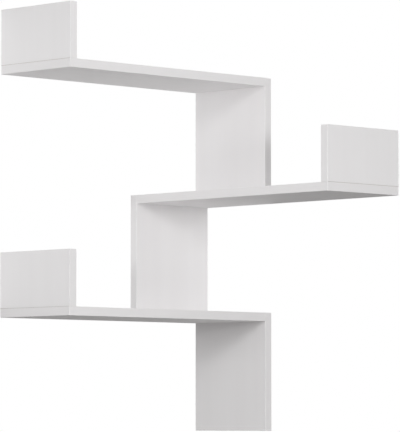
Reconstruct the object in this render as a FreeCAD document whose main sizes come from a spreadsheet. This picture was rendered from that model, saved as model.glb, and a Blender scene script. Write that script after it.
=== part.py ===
"""A corner wall shelf: three shelves that zigzag up two walls, in millimetres.

Frame: the room corner is the line X = Y = 0. The left wall is the plane X = 0, the right wall is
the plane Y = 0, +Z is up, and Z = 0 is the foot of the lowest panel.

Every board is drawn lying flat: x runs along its length from the end that meets another board,
y runs across its depth and z through its thickness. A Placement then stands it on its wall.
"""
import FreeCAD, Part
import Sketcher
import math
import os
import re

SIZES = {
    # boards
    "board_thickness": 19.0,
    "shelf_depth": 220.0,
    "arm_length": 600.0,
    "storey_height": 260.0,
    "end_panel_height": 120.0,
    # edge bands, with the flat that is left beside the rounding
    "band_thickness": 1.0,
    "band_land": 0.2,
    # where the fittings sit in every board joint, and the wood left under a blind hole in a face
    "fitting_margin": 21.0,
    "dowel_pitch": 32.0,
    "blind_floor": 7.0,
    "hole_spare": 1.0,
    # dowels
    "dowel_diameter": 8.0,
    "dowel_length": 30.0,
    "dowel_chamfer": 1.0,
    "dowel_play": 0.1,
    # cams, sunk from one face of a panel past its middle
    "cam_diameter": 15.0,
    "cam_setback": 24.0,
    "cam_reach": 4.6,
    "cam_sink": 0.3,
    "cam_play": 0.2,
    "cam_slot_length": 8.0,
    "cam_slot_width": 2.0,
    "cam_slot_depth": 3.0,
    # cam bolts, screwed into the top of a shelf
    "bolt_thread_diameter": 6.0,
    "bolt_thread_height": 0.7,
    "bolt_thread_pitch": 2.0,
    "bolt_shank_diameter": 7.0,
    "bolt_neck_diameter": 4.0,
    "bolt_neck_length": 5.0,
    "bolt_head_length": 3.0,
    "bolt_overrun": 1.5,
    "bolt_bevel": 0.6,
    "bolt_play": 1.0,
    # cover caps on the cams that show
    "cap_diameter": 17.5,
    "cap_thickness": 1.2,
    "cap_rim": 0.5,
    "cap_stub_length": 2.5,
    "cap_play": 0.2,
    # connecting screws, driven through a wall panel into the end of a shelf
    "screw_length": 50.0,
    "screw_head_diameter": 10.0,
    "screw_shank_diameter": 7.0,
    "screw_thread_height": 1.0,
    "screw_thread_pitch": 3.0,
    "screw_tip_length": 4.0,
    "screw_socket_width": 4.0,
    "screw_socket_depth": 3.0,
    "screw_play": 0.2,
    # keyhole hanger plates
    "hanger_margin": 2.0,
    "hanger_web": 7.5,
    "hanger_thickness": 1.5,
    "hanger_play": 0.2,
    "panel_hanger_drop": 85.0,
    "end_hanger_drop": 30.0,
    "keyhole_entry": 9.0,
    "keyhole_slot": 4.5,
    "keyhole_travel": 10.0,
    "head_room": 1.0,
    "head_pocket_depth": 7.0,
    # countersunk screws in the hanger plates
    "hanger_screw_inset": 5.0,
    "hanger_screw_diameter": 3.0,
    "hanger_screw_head": 6.0,
    "hanger_screw_length": 16.0,
    "hanger_screw_tip": 3.0,
    "hanger_screw_play": 0.1,
    "driver_slot_length": 3.0,
    "driver_slot_width": 0.8,
    "driver_slot_depth": 0.9,
}

# places and sizes that follow from the driving ones
MIDDLE = "board_thickness / 2"
SHELF_LENGTH = "(arm_length - board_thickness)"
INSET = "(board_thickness + fitting_margin)"
FITTINGS = (INSET, f"shelf_depth - {INSET}")
FITTING_SPAN = f"shelf_depth - 2 * {INSET}"
DOWELS = (f"{INSET} + dowel_pitch", f"shelf_depth - {INSET} - dowel_pitch")
BLIND_DEPTH = "(board_thickness - blind_floor)"
SEAT_LENGTH = f"({BLIND_DEPTH} - hole_spare)"
DOWEL_HOLE = "dowel_diameter + dowel_play"
DOWEL_END_DEPTH = f"dowel_length - {SEAT_LENGTH} + hole_spare"
CAM_BORE_DEPTH = "(board_thickness / 2 + cam_reach)"
BOLT_PASSAGE = "bolt_shank_diameter + bolt_play"
BOLT_CORE = "(bolt_thread_diameter - 2 * bolt_thread_height)"
BOLT_END = "(cam_setback + bolt_overrun)"
BOLT_DEPTH = f"{BOLT_END} + hole_spare"
SCREW_HOLE = "screw_shank_diameter + screw_play"
SCREW_CORE = "(screw_shank_diameter - 2 * screw_thread_height)"
SCREW_END = "(screw_length - board_thickness)"
HANGER_WIDTH = "(board_thickness - 2 * hanger_margin)"
HANGER_SCREW_REACH = "(keyhole_travel / 2 + keyhole_entry / 2 + head_room + hanger_web)"
HANGER_REACH = f"({HANGER_SCREW_REACH} + hanger_screw_inset - {HANGER_WIDTH} / 2)"
HEAD_POCKET_WIDTH = "keyhole_entry + 2 * head_room"
PLATE_SCREW_HOLE = "hanger_screw_diameter + hanger_screw_play"

# which long edge of a board lies at the front, away from the wall
FRONT_FAR = "front at full depth"
FRONT_NEAR = "front at no depth"

# how a flat-drawn board is turned to its place
ALONG_LEFT_WALL = FreeCAD.Rotation(FreeCAD.Vector(0, 0, 1), -90)
ALONG_RIGHT_WALL = FreeCAD.Rotation()
BACK_TO_RIGHT_WALL = FreeCAD.Rotation(FreeCAD.Vector(1, 1, 1), -120)
BACK_TO_LEFT_WALL = FreeCAD.Rotation(FreeCAD.Vector(0, 1, 0), -90)

doc = FreeCAD.newDocument("corner_wall_shelf")
sheet = doc.addObject("Spreadsheet::Sheet", "Sizes")
nodes = []


def fill_sheet():
    """Writes the driving sizes into the sheet, one alias to a row."""
    for row, (alias, size) in enumerate(SIZES.items(), start=1):
        sheet.set(f"A{row}", alias)
        sheet.set(f"B{row}", str(size))
        sheet.setAlias(f"B{row}", alias)
    doc.recompute()


def bound(text):
    """Returns an expression with each size's name led by the sheet's name."""
    return re.sub(r"[a-z]+(?:_[a-z]+)+", lambda name: f"Sizes.{name.group()}", text)


def value(text):
    """Returns what an expression comes to with the sheet's sizes."""
    return float(sheet.evalExpression(bound(text)))


def new_body(label, turn, base):
    """Starts a sub-part that a turn and three bound distances put in its place."""
    body = doc.addObject("PartDesign::Body", label)
    body.Label = label
    body.Placement = FreeCAD.Placement(FreeCAD.Vector(), turn)
    for axis, text in zip("xyz", base):
        body.setExpression(f"Placement.Base.{axis}", bound(text))
    return body


def origin_item(body, role):
    """Returns the plane or axis of a body's origin that has this role."""
    return next(item for item in body.Origin.OriginFeatures if item.Role == role)


def new_sketch(body, role, name, shift=("0", "0", "0")):
    """Starts a sketch on one of the body's planes, shifted by bound distances in that plane's axes."""
    sketch = body.newObject("Sketcher::SketchObject", name)
    sketch.AttachmentSupport = (origin_item(body, role), [""])
    sketch.MapMode = "FlatFace"
    for axis, text in zip("xyz", shift):
        sketch.setExpression(f"AttachmentOffset.Base.{axis}", bound(text))
    return sketch


def bind_constraint(sketch, text, kind, *points):
    """Adds one measured constraint to a sketch and binds it to the sheet."""
    index = sketch.addConstraint(Sketcher.Constraint(kind, *points, value(text)))
    sketch.setExpression(f"Constraints[{index}]", bound(text))


def pin(sketch, geometry, point, place):
    """Ties a point to the sheet by its distances from the sketch's origin."""
    for kind, text in zip(("DistanceX", "DistanceY"), place):
        bind_constraint(sketch, text, kind, -1, 1, geometry, point)


def spot(place):
    """Returns a bound place as a vector."""
    return FreeCAD.Vector(value(place[0]), value(place[1]), 0)


def draw_polygon(sketch, corners):
    """Draws a closed outline of straight sides through bound corners."""
    first = sketch.GeometryCount
    count = len(corners)
    for index, corner in enumerate(corners):
        sketch.addGeometry(Part.LineSegment(spot(corner), spot(corners[(index + 1) % count])))
    for index, corner in enumerate(corners):
        following = first + (index + 1) % count
        sketch.addConstraint(Sketcher.Constraint("Coincident", first + index, 2, following, 1))
        pin(sketch, first + index, 1, corner)


def draw_circles(sketch, centres, diameter):
    """Draws circles of one bound diameter."""
    for centre in centres:
        circle = sketch.addGeometry(Part.Circle(spot(centre), FreeCAD.Vector(0, 0, 1), value(diameter) / 2))
        pin(sketch, circle, 3, centre)
        bind_constraint(sketch, diameter, "Diameter", circle)


def draw_slot(sketch, low, high, across, width):
    """Draws a round-ended slot along the sketch's x axis, between two centres at one height."""
    radius = value(width) / 2
    rise = FreeCAD.Vector(0, radius, 0)
    first, last = spot((low, across)), spot((high, across))
    left, right = (
        sketch.addGeometry(Part.ArcOfCircle(Part.Circle(centre, FreeCAD.Vector(0, 0, 1), radius),
                                            start, start + math.pi))
        for centre, start in ((first, math.pi / 2), (last, -math.pi / 2)))
    lower = sketch.addGeometry(Part.LineSegment(first - rise, last - rise))
    upper = sketch.addGeometry(Part.LineSegment(first + rise, last + rise))
    for arc, arc_end, line, line_end in ((left, 2, lower, 1), (left, 1, upper, 1),
                                         (right, 1, lower, 2), (right, 2, upper, 2)):
        sketch.addConstraint(Sketcher.Constraint("Tangent", arc, arc_end, line, line_end))
    pin(sketch, left, 3, (low, across))
    bind_constraint(sketch, high, "DistanceX", -1, 1, right, 3)
    bind_constraint(sketch, f"({width}) / 2", "Radius", left)
    sketch.addConstraint(Sketcher.Constraint("Equal", left, right))


def rectangle(x_span, y_span):
    """Returns the four corners of an upright rectangle."""
    (left, right), (low, high) = x_span, y_span
    return [(left, low), (right, low), (right, high), (left, high)]


def cross(centre, length, width):
    """Returns the twelve corners of a plus sign."""
    x, y = centre
    long, short = f"({length}) / 2", f"({width}) / 2"
    quarter = [(short, long), (short, short), (long, short)]
    corners = [(f"{x} + {right}", f"{y} + {up}") for right, up in quarter]
    corners += [(f"{x} + {right}", f"{y} - {up}") for right, up in reversed(quarter)]
    corners += [(f"{x} - {right}", f"{y} - {up}") for right, up in quarter]
    corners += [(f"{x} - {right}", f"{y} + {up}") for right, up in reversed(quarter)]
    return corners


def pad(body, sketch, length, reverse=False):
    """Adds a pad along the sketch's normal, or against it."""
    feature = body.newObject("PartDesign::Pad", "Pad")
    feature.Profile = sketch
    feature.Reversed = reverse
    feature.setExpression("Length", bound(length))
    doc.recompute()
    return feature


def pocket(body, sketch, depth, reverse=False):
    """Cuts a pocket against the sketch's normal, or along it, and makes sure that it meets the solid."""
    before = body.Shape.Volume
    feature = body.newObject("PartDesign::Pocket", "Pocket")
    feature.Profile = sketch
    feature.Reversed = reverse
    feature.setExpression("Length", bound(depth))
    doc.recompute()
    if body.Shape.Volume >= before:
        raise ValueError(f"{sketch.Label} cuts nothing out of {body.Label}")
    return feature


def drill(body, role, name, centres, diameter, depth, lift="0", reverse=False):
    """Drills round holes of one diameter and depth, square to one of the body's planes."""
    sketch = new_sketch(body, role, name, ("0", "0", lift))
    draw_circles(sketch, centres, diameter)
    return pocket(body, sketch, depth, reverse)


def countersink(body, name, centres, diameter, head_diameter, lift):
    """Drills holes right through the body from its upper face, each with a seat for a flat head."""
    sketch = new_sketch(body, "XY_Plane", name, ("0", "0", lift))
    draw_circles(sketch, centres, diameter)
    doc.recompute()
    before = body.Shape.Volume
    hole = body.newObject("PartDesign::Hole", "Hole")
    hole.Profile = sketch
    hole.DepthType = "ThroughAll"
    hole.HoleCutType = "Countersink"
    hole.HoleCutCustomValues = True
    hole.HoleCutCountersinkAngle = 90
    hole.setExpression("Diameter", bound(diameter))
    hole.setExpression("HoleCutDiameter", bound(head_diameter))
    doc.recompute()
    if body.Shape.Volume >= before:
        raise ValueError(f"{name} cuts nothing out of {body.Label}")


def revolve(body, sketch, axis):
    """Turns a sketch once round one of its own axes."""
    feature = body.newObject("PartDesign::Revolution", "Revolution")
    feature.Profile = sketch
    feature.ReferenceAxis = (sketch, [axis])
    feature.Angle = 360
    doc.recompute()
    return feature


def pair(body, features, role, distance):
    """Repeats features once more at a bound distance along one of the body's axes."""
    pattern = body.newObject("PartDesign::LinearPattern", "Pair")
    pattern.Originals = features
    pattern.Direction = (origin_item(body, role), [""])
    pattern.Occurrences = 2
    pattern.setExpression("Length", bound(distance))
    body.Tip = pattern
    doc.recompute()
    return pattern


def edges_of(shape, chosen):
    """Returns the names of the shape's edges that are among the chosen ones."""
    return [f"Edge{index}" for index, edge in enumerate(shape.Edges, start=1)
            if any(edge.isSame(other) for other in chosen)]


def depth_span(front):
    """Returns where a board's core begins and ends across its depth, its front band left off."""
    if front == FRONT_FAR:
        return ("0", "shelf_depth - band_thickness")
    return ("band_thickness", "shelf_depth")


def front_span(front):
    """Returns where a board's front band begins and ends across its depth."""
    if front == FRONT_FAR:
        return ("shelf_depth - band_thickness", "shelf_depth")
    return ("0", "band_thickness")


def wall_line(front):
    """Returns the depth of the line that lies half a board's thickness off the wall."""
    return MIDDLE if front == FRONT_FAR else f"shelf_depth - {MIDDLE}"


def make_core(label, turn, base, length_span, front):
    """Starts a board with its plain core, cut to size before its edges are banded."""
    body = new_body(label, turn, base)
    outline = new_sketch(body, "XY_Plane", "Outline")
    draw_polygon(outline, rectangle(length_span, depth_span(front)))
    pad(body, outline, "board_thickness")
    nodes.append(body)
    return body


def make_band(label, turn, base, x_span, y_span, outward):
    """Makes one edge band, with the edges round its outer face rounded."""
    body = new_body(label, turn, base)
    outline = new_sketch(body, "XY_Plane", "Outline")
    draw_polygon(outline, rectangle(x_span, y_span))
    strip = pad(body, outline, "board_thickness")
    outer_face = max(strip.Shape.Faces, key=lambda face: face.CenterOfMass.dot(outward))
    rounding = body.newObject("PartDesign::Fillet", "Rounding")
    rounding.Base = (strip, edges_of(strip.Shape, outer_face.Edges))
    rounding.setExpression("Radius", bound("band_thickness - band_land"))
    nodes.append(body)


def band_board(label, turn, base, length, front, far_end, near_end=None):
    """Bands a board's front edge and its named ends, and returns the length span that its core fills."""
    front_side = FreeCAD.Vector(0, 1 if front == FRONT_FAR else -1, 0)
    make_band(f"{label}_front_band", turn, base, ("0", length), front_span(front), front_side)
    core_end = f"{length} - band_thickness"
    make_band(f"{label}_{far_end}_band", turn, base, (core_end, length), depth_span(front),
              FreeCAD.Vector(1, 0, 0))
    if near_end is None:
        return ("0", core_end)
    make_band(f"{label}_{near_end}_band", turn, base, ("0", "band_thickness"), depth_span(front),
              FreeCAD.Vector(-1, 0, 0))
    return ("band_thickness", core_end)


def bore_standing_end(body):
    """Drills the near end of a panel that stands on a shelf, for cams, their bolts and dowels."""
    drill(body, "YZ_Plane", "BoltPassages", [(y, MIDDLE) for y in FITTINGS], BOLT_PASSAGE, BOLT_DEPTH,
          reverse=True)
    drill(body, "YZ_Plane", "DowelHoles", [(y, MIDDLE) for y in DOWELS], DOWEL_HOLE, DOWEL_END_DEPTH,
          reverse=True)
    drill(body, "XY_Plane", "CamBores", [("cam_setback", y) for y in FITTINGS], "cam_diameter + cam_play",
          CAM_BORE_DEPTH, lift="board_thickness")


def bore_shelf_end(body):
    """Drills the near end of a shelf for its connecting screws and dowels."""
    drill(body, "YZ_Plane", "ScrewHoles", [(y, MIDDLE) for y in FITTINGS], SCREW_HOLE,
          f"{SCREW_END} + hole_spare", reverse=True)
    drill(body, "YZ_Plane", "DowelHoles", [(y, MIDDLE) for y in DOWELS], DOWEL_HOLE, DOWEL_END_DEPTH,
          reverse=True)


def bore_shelf_top(body, name, bolts, dowels):
    """Drills the top of a shelf for the bolts and dowels of a panel that stands there."""
    drill(body, "XY_Plane", f"{name}BoltHoles", bolts, "bolt_thread_diameter", BLIND_DEPTH,
          lift="board_thickness")
    drill(body, "XY_Plane", f"{name}DowelHoles", dowels, DOWEL_HOLE, BLIND_DEPTH, lift="board_thickness")


def bore_panel_head(body):
    """Drills the upper end of a wall panel, where a shelf's end meets its room side."""
    level = f"storey_height - {MIDDLE}"
    countersink(body, "ScrewHoles", [(level, y) for y in FITTINGS], SCREW_HOLE,
                "screw_head_diameter + screw_play", lift="board_thickness")
    drill(body, "XY_Plane", "HeadDowelHoles", [(level, y) for y in DOWELS], DOWEL_HOLE, BLIND_DEPTH,
          reverse=True)


def seat_hanger(body, role, level, across, lift="0", reverse=False):
    """Lets a hanger plate into a board's wall side: its recess, the pocket behind it and screw holes."""
    recess = new_sketch(body, role, "HangerRecess", ("0", "0", lift))
    draw_slot(recess, f"{level} - {HANGER_REACH}", f"{level} + {HANGER_REACH}", across,
              f"{HANGER_WIDTH} + hanger_play")
    pocket(body, recess, "hanger_thickness", reverse)
    head_pocket = new_sketch(body, role, "HeadPocket", ("0", "0", lift))
    draw_slot(head_pocket, f"{level} - keyhole_travel / 2", f"{level} + keyhole_travel / 2", across,
              HEAD_POCKET_WIDTH)
    pocket(body, head_pocket, "hanger_thickness + head_pocket_depth", reverse)
    screw_places = [(f"{level} {sign} {HANGER_SCREW_REACH}", across) for sign in "-+"]
    drill(body, role, "HangerScrewHoles", screw_places, PLATE_SCREW_HOLE, "hanger_screw_length + hole_spare",
          lift, reverse)


def make_shelf(label, turn, base, front, carries_panel):
    """Makes a shelf with its bands, drilled for its own end, its end panel and any wall panel on it."""
    length_span = band_board(label, turn, base, SHELF_LENGTH, front, "end")
    body = make_core(label, turn, base, length_span, front)
    bore_shelf_end(body)
    end_line = f"{SHELF_LENGTH} - {MIDDLE}"
    bore_shelf_top(body, "End", [(end_line, y) for y in FITTINGS], [(end_line, y) for y in DOWELS])
    if carries_panel:
        across = wall_line(front)
        bolts = [(f"{place} - board_thickness", across) for place in FITTINGS]
        dowels = [(f"{place} - board_thickness", across) for place in DOWELS]
        bore_shelf_top(body, "Panel", bolts, dowels)
    make_dowels(f"{label}_dowels", turn, base)
    make_connecting_screws(f"{label}_screws", turn, base)


def make_wall_panel(label, turn, base, front, stands_on_shelf):
    """Makes a panel that lies flat on a wall, with its bands and fittings."""
    foot = None if stands_on_shelf else "foot"
    length_span = band_board(label, turn, base, "storey_height", front, "top", foot)
    body = make_core(label, turn, base, length_span, front)
    bore_panel_head(body)
    seat_hanger(body, "XY_Plane", "storey_height - panel_hanger_drop", "shelf_depth / 2",
                lift="board_thickness")
    if stands_on_shelf:
        bore_standing_end(body)
        make_standing_fittings(label, turn, base)


def make_end_panel(label, turn, base, front):
    """Makes a low panel that stands on the free end of a shelf, with its bands and fittings."""
    length_span = band_board(label, turn, base, "end_panel_height", front, "top")
    body = make_core(label, turn, base, length_span, front)
    bore_standing_end(body)
    level = "end_panel_height - end_hanger_drop"
    if front == FRONT_FAR:
        seat_hanger(body, "XZ_Plane", level, MIDDLE)
    else:
        seat_hanger(body, "XZ_Plane", level, MIDDLE, lift="-shelf_depth", reverse=True)
    make_standing_fittings(label, turn, base)
    make_caps(f"{label}_cam_caps", turn, base)


def make_standing_fittings(label, turn, base):
    """Makes the cams, bolts and dowels that hold a panel down on a shelf."""
    make_cams(f"{label}_cams", turn, base)
    make_bolts(f"{label}_cam_bolts", turn, base)
    make_dowels(f"{label}_dowels", turn, base)


def make_dowels(label, turn, base):
    """Makes the two dowels of a board's near end."""
    body = new_body(label, turn, base)
    section = new_sketch(body, "YZ_Plane", "Section", ("0", "0", f"-{SEAT_LENGTH}"))
    draw_circles(section, [(y, MIDDLE) for y in DOWELS], "dowel_diameter")
    pegs = pad(body, section, "dowel_length")
    rims = [edge for edge in pegs.Shape.Edges if edge.isClosed()]
    chamfer = body.newObject("PartDesign::Chamfer", "Chamfer")
    chamfer.Base = (pegs, edges_of(pegs.Shape, rims))
    chamfer.setExpression("Size", bound("dowel_chamfer"))
    nodes.append(body)


def make_cams(label, turn, base):
    """Makes the two cams of a standing panel, each open towards its bolt and slotted for a driver."""
    body = new_body(label, turn, base)
    top = "board_thickness - cam_sink"
    places = [("cam_setback", y) for y in FITTINGS]
    rounds = new_sketch(body, "XY_Plane", "Rounds", ("0", "0", top))
    draw_circles(rounds, places, "cam_diameter")
    pad(body, rounds, f"{CAM_BORE_DEPTH} - cam_sink", reverse=True)
    drill(body, "YZ_Plane", "BoltHoles", [(y, MIDDLE) for y in FITTINGS], BOLT_PASSAGE, BOLT_DEPTH,
          reverse=True)
    slots = new_sketch(body, "XY_Plane", "DriverSlots", ("0", "0", top))
    for place in places:
        draw_polygon(slots, cross(place, "cam_slot_length", "cam_slot_width"))
    pocket(body, slots, "cam_slot_depth")
    nodes.append(body)


def thread_ridges(body, core, crest, pitch, start, length):
    """Rings a revolved fastener and its pair with the ridges of their thread."""
    ridge = new_sketch(body, "XY_Plane", "Ridge", ("0", INSET, MIDDLE))
    half_core, half_crest = f"({core}) / 2", f"({crest}) / 2"
    draw_polygon(ridge, [(f"{start}", half_core), (f"{start} + {pitch} / 2", half_crest),
                         (f"{start} + {pitch}", half_core), (f"{start} + {pitch}", f"{half_core} / 2"),
                         (f"{start}", f"{half_core} / 2")])
    ring = revolve(body, ridge, "H_Axis")
    rows = body.newObject("PartDesign::LinearPattern", "Ridges")
    rows.Originals = [ring]
    rows.Direction = (origin_item(body, "X_Axis"), [""])
    rows.Mode = "Spacing"
    rows.setExpression("Offset", bound(pitch))
    rows.setExpression("Occurrences", bound(f"max(1; floor(({length}) / {pitch}))"))
    rows.Direction2 = (origin_item(body, "Y_Axis"), [""])
    rows.Occurrences2 = 2
    rows.setExpression("Length2", bound(FITTING_SPAN))
    body.Tip = rows
    doc.recompute()


def make_bolts(label, turn, base):
    """Makes the two cam bolts of a standing panel: thread in the shelf, head in the cam."""
    body = new_body(label, turn, base)
    profile = new_sketch(body, "XY_Plane", "Profile", ("0", INSET, MIDDLE))
    head_start = f"({BOLT_END} - bolt_head_length)"
    shank_end = f"({head_start} - bolt_neck_length)"
    core, shank, neck = f"{BOLT_CORE} / 2", "bolt_shank_diameter / 2", "bolt_neck_diameter / 2"
    draw_polygon(profile, [
        (f"-{SEAT_LENGTH}", "0"),
        (f"-{SEAT_LENGTH}", f"{core} - bolt_bevel"),
        (f"bolt_bevel - {SEAT_LENGTH}", core),
        ("0", core),
        ("0", shank),
        (shank_end, shank),
        (shank_end, neck),
        (head_start, neck),
        (head_start, shank),
        (f"{BOLT_END} - bolt_bevel", shank),
        (BOLT_END, f"{shank} - bolt_bevel"),
        (BOLT_END, "0"),
    ])
    pair(body, [revolve(body, profile, "H_Axis")], "Y_Axis", FITTING_SPAN)
    thread_ridges(body, BOLT_CORE, "bolt_thread_diameter", "bolt_thread_pitch",
                  f"bolt_bevel - {SEAT_LENGTH}", f"{SEAT_LENGTH} - bolt_bevel")
    nodes.append(body)


def make_connecting_screws(label, turn, base):
    """Makes the two screws that draw a shelf's end against a wall panel, their heads at its wall side."""
    body = new_body(label, turn, base)
    profile = new_sketch(body, "XY_Plane", "Profile", ("0", INSET, MIDDLE))
    head, shank, core = "screw_head_diameter / 2", "screw_shank_diameter / 2", f"{SCREW_CORE} / 2"
    draw_polygon(profile, [
        ("-board_thickness", "0"),
        ("-board_thickness", head),
        (f"{head} - {shank} - board_thickness", shank),
        ("0", shank),
        ("0", core),
        (f"{SCREW_END} - screw_tip_length", core),
        (SCREW_END, f"{core} / 2"),
        (SCREW_END, "0"),
    ])
    pair(body, [revolve(body, profile, "H_Axis")], "Y_Axis", FITTING_SPAN)
    thread_ridges(body, SCREW_CORE, "screw_shank_diameter", "screw_thread_pitch", "0",
                  f"{SCREW_END} - screw_tip_length")
    sockets = new_sketch(body, "YZ_Plane", "Sockets", ("0", "0", "-board_thickness"))
    for y in FITTINGS:
        draw_polygon(sockets, hexagon((y, MIDDLE), "screw_socket_width"))
    pocket(body, sockets, "screw_socket_depth", reverse=True)
    nodes.append(body)


def hexagon(centre, width):
    """Returns the six corners of a hexagon of this width across its flats."""
    x, y = centre
    flat, corner = f"{width} / 2", f"{width} / 2 / cos(30 deg)"
    slope = f"{corner} / 2"
    return [(f"{x} + {corner}", y), (f"{x} + {slope}", f"{y} + {flat}"), (f"{x} - {slope}", f"{y} + {flat}"),
            (f"{x} - {corner}", y), (f"{x} - {slope}", f"{y} - {flat}"), (f"{x} + {slope}", f"{y} - {flat}")]


def make_caps(label, turn, base):
    """Makes the two caps that cover an end panel's cams, each with a stub in its cam's slots."""
    body = new_body(label, turn, base)
    places = [("cam_setback", y) for y in FITTINGS]
    discs = new_sketch(body, "XY_Plane", "Discs", ("0", "0", "board_thickness"))
    draw_circles(discs, places, "cap_diameter")
    caps = pad(body, discs, "cap_thickness")
    top = max(edge.CenterOfMass.z for edge in caps.Shape.Edges)
    rims = [edge for edge in caps.Shape.Edges if edge.isClosed() and edge.CenterOfMass.z == top]
    rounding = body.newObject("PartDesign::Fillet", "Rounding")
    rounding.Base = (caps, edges_of(caps.Shape, rims))
    rounding.setExpression("Radius", bound("cap_thickness - cap_rim"))
    doc.recompute()
    stubs = new_sketch(body, "XY_Plane", "Stubs", ("0", "0", "board_thickness"))
    for place in places:
        draw_polygon(stubs, cross(place, "cam_slot_length - cap_play", "cam_slot_width - cap_play"))
    pad(body, stubs, "cap_stub_length", reverse=True)
    nodes.append(body)


def make_hanger(label, turn, base):
    """Makes a keyhole plate: drawn about its own middle, x up and z towards the wall."""
    plate = new_body(label, turn, base)
    outline = new_sketch(plate, "XY_Plane", "Outline")
    draw_slot(outline, f"-{HANGER_REACH}", HANGER_REACH, "0", HANGER_WIDTH)
    pad(plate, outline, "hanger_thickness", reverse=True)
    drill(plate, "XY_Plane", "KeyholeEntry", [("-keyhole_travel / 2", "0")], "keyhole_entry",
          "hanger_thickness")
    keyhole = new_sketch(plate, "XY_Plane", "KeyholeSlot")
    draw_slot(keyhole, "-keyhole_travel / 2", "keyhole_travel / 2", "0", "keyhole_slot")
    pocket(plate, keyhole, "hanger_thickness")
    screw_places = [(f"-{HANGER_SCREW_REACH}", "0"), (HANGER_SCREW_REACH, "0")]
    countersink(plate, "ScrewHoles", screw_places, PLATE_SCREW_HOLE, "hanger_screw_head + hanger_screw_play",
                lift="0")
    nodes.append(plate)
    return make_hanger_screws(f"{label}_screws", turn, base, screw_places)


def make_hanger_screws(label, turn, base, places):
    """Makes the two countersunk screws of a hanger plate."""
    body = new_body(label, turn, base)
    profile = new_sketch(body, "XZ_Plane", "Profile", (f"-{HANGER_SCREW_REACH}", "0", "0"))
    head, shank = "hanger_screw_head / 2", "hanger_screw_diameter / 2"
    draw_polygon(profile, [
        ("0", "0"),
        (head, "0"),
        (shank, f"{shank} - {head}"),
        (shank, "hanger_screw_tip - hanger_screw_length"),
        ("0", "-hanger_screw_length"),
    ])
    pair(body, [revolve(body, profile, "V_Axis")], "X_Axis", f"2 * {HANGER_SCREW_REACH}")
    slots = new_sketch(body, "XY_Plane", "DriverSlots")
    for place in places:
        draw_polygon(slots, cross(place, "driver_slot_length", "driver_slot_width"))
    pocket(body, slots, "driver_slot_depth")
    return body


def build():
    """Makes every sub-part in its place."""
    left_shelf = ("0", "-board_thickness")
    right_shelf = ("board_thickness", "-shelf_depth")
    left_end = ("0", "-arm_length")
    right_end = ("arm_length", "-shelf_depth")
    on_right_wall = ("0", "-board_thickness")
    on_left_wall = ("board_thickness", "-shelf_depth")

    make_shelf("bottom_shelf", ALONG_LEFT_WALL, (*left_shelf, "storey_height - board_thickness"),
               FRONT_FAR, carries_panel=True)
    make_shelf("middle_shelf", ALONG_RIGHT_WALL, (*right_shelf, "2 * storey_height - board_thickness"),
               FRONT_NEAR, carries_panel=True)
    make_shelf("top_shelf", ALONG_LEFT_WALL, (*left_shelf, "3 * storey_height - board_thickness"),
               FRONT_FAR, carries_panel=False)

    make_wall_panel("lower_wall_panel", BACK_TO_RIGHT_WALL, (*on_right_wall, "0"),
                    FRONT_FAR, stands_on_shelf=False)
    make_wall_panel("middle_wall_panel", BACK_TO_LEFT_WALL, (*on_left_wall, "storey_height"),
                    FRONT_NEAR, stands_on_shelf=True)
    make_wall_panel("upper_wall_panel", BACK_TO_RIGHT_WALL, (*on_right_wall, "2 * storey_height"),
                    FRONT_FAR, stands_on_shelf=True)

    make_end_panel("bottom_end_panel", BACK_TO_RIGHT_WALL, (*left_end, "storey_height"), FRONT_FAR)
    make_end_panel("middle_end_panel", BACK_TO_LEFT_WALL, (*right_end, "2 * storey_height"), FRONT_NEAR)
    make_end_panel("top_end_panel", BACK_TO_RIGHT_WALL, (*left_end, "3 * storey_height"), FRONT_FAR)

    left_panel = ("0", "-shelf_depth / 2")
    right_panel = ("shelf_depth / 2", "0")
    left_edge = ("0", f"{MIDDLE} - arm_length")
    right_edge = (f"arm_length - {MIDDLE}", "0")
    panel_drop = "- panel_hanger_drop"
    end_drop = "+ end_panel_height - end_hanger_drop"
    hangers = (
        ("lower_wall_panel", BACK_TO_RIGHT_WALL, right_panel, 1, panel_drop),
        ("middle_wall_panel", BACK_TO_LEFT_WALL, left_panel, 2, panel_drop),
        ("upper_wall_panel", BACK_TO_RIGHT_WALL, right_panel, 3, panel_drop),
        ("bottom_end_panel", BACK_TO_LEFT_WALL, left_edge, 1, end_drop),
        ("middle_end_panel", BACK_TO_RIGHT_WALL, right_edge, 2, end_drop),
        ("top_end_panel", BACK_TO_LEFT_WALL, left_edge, 3, end_drop),
    )
    screws = [make_hanger(f"{board}_hanger", turn, (*place, f"{storey} * storey_height {drop}"))
              for board, turn, place, storey, drop in hangers]
    hanger_screws = doc.addObject("Part::Compound", "hanger_screws")
    hanger_screws.Links = screws
    nodes.append(hanger_screws)


def check():
    """Stops the script if an object failed or a sub-part has no sound shape."""
    doc.recompute()
    for item in doc.Objects:
        if "Invalid" in item.State or "Error" in item.State:
            raise ValueError(f"{item.Label} failed: {item.State}")
    for node in nodes:
        if node.Shape.isNull() or not node.Shape.isValid() or not node.Shape.Solids:
            raise ValueError(f"{node.Label} has no sound shape")


def write():
    """Writes each sub-part to its own file and prints what it holds."""
    os.makedirs("parts", exist_ok=True)
    for node in nodes:
        node.Shape.exportStep(f"parts/{node.Label}.step")
        print(f"{node.Label:36s} solids {len(node.Shape.Solids):2d}  volume {node.Shape.Volume:12.2f}")


fill_sheet()
build()
check()
write()
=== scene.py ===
"""Looks of a zigzag corner wall shelf: its finishes, its studio and its camera.

Everything is in metres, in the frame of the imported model: the left wall is the plane X = 0, the
right wall is the plane Y = 0, and +Z is up from the foot of the lowest panel.
"""

import logging
import math
from dataclasses import dataclass
from enum import Enum
from typing import ClassVar

import bmesh
import bpy
from mathutils import Matrix, Vector


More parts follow.
